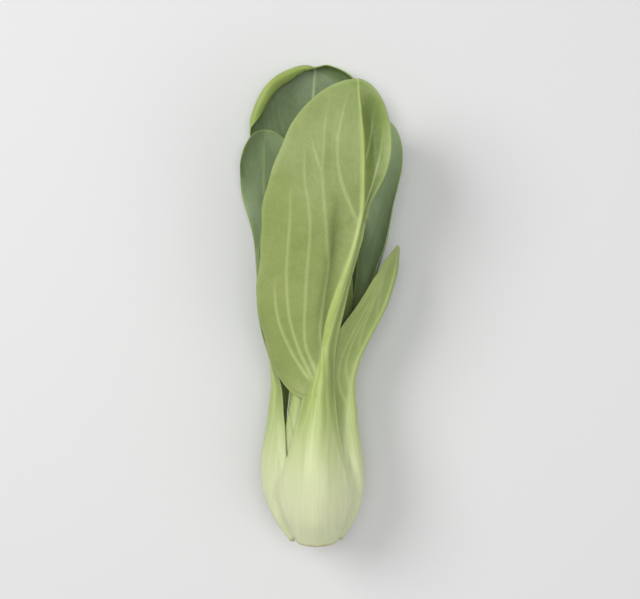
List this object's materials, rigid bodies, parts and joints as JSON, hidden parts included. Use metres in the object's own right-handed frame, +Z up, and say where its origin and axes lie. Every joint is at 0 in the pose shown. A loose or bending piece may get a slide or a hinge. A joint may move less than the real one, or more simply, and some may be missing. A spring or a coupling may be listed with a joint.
{
  "type": "baby bok choy",
  "caption": "One head of baby bok choy lying on its side: spoon-shaped green leaves on thick pale stalks that nest round a short cut stem.",
  "frame": {"origin": "under the middle of the head, on the surface that it lies on", "axes": "+Y runs along the head from the cut stem to the leaf tips, +X across it and +Z up"},
  "size_m": [0.063, 0.1894, 0.0549],
  "materials": {
    "leaf": "satin",
    "stem": "matte"
  },
  "bodies": {
    "root": {"leaf_front": "leaf", "leaf_back": "leaf", "leaf_left": "leaf", "leaf_right_short": "leaf", "leaf_under": "leaf", "leaf_upper_left": "leaf", "leaf_right": "leaf", "leaf_lower_left": "leaf", "leaf_inner_top": "leaf", "leaf_inner_under": "leaf", "leaf_inner_left": "leaf", "heart_leaf_1": "leaf", "heart_leaf_2": "leaf", "heart_leaf_3": "leaf", "stem": "stem"}
  },
  "joints": []
}
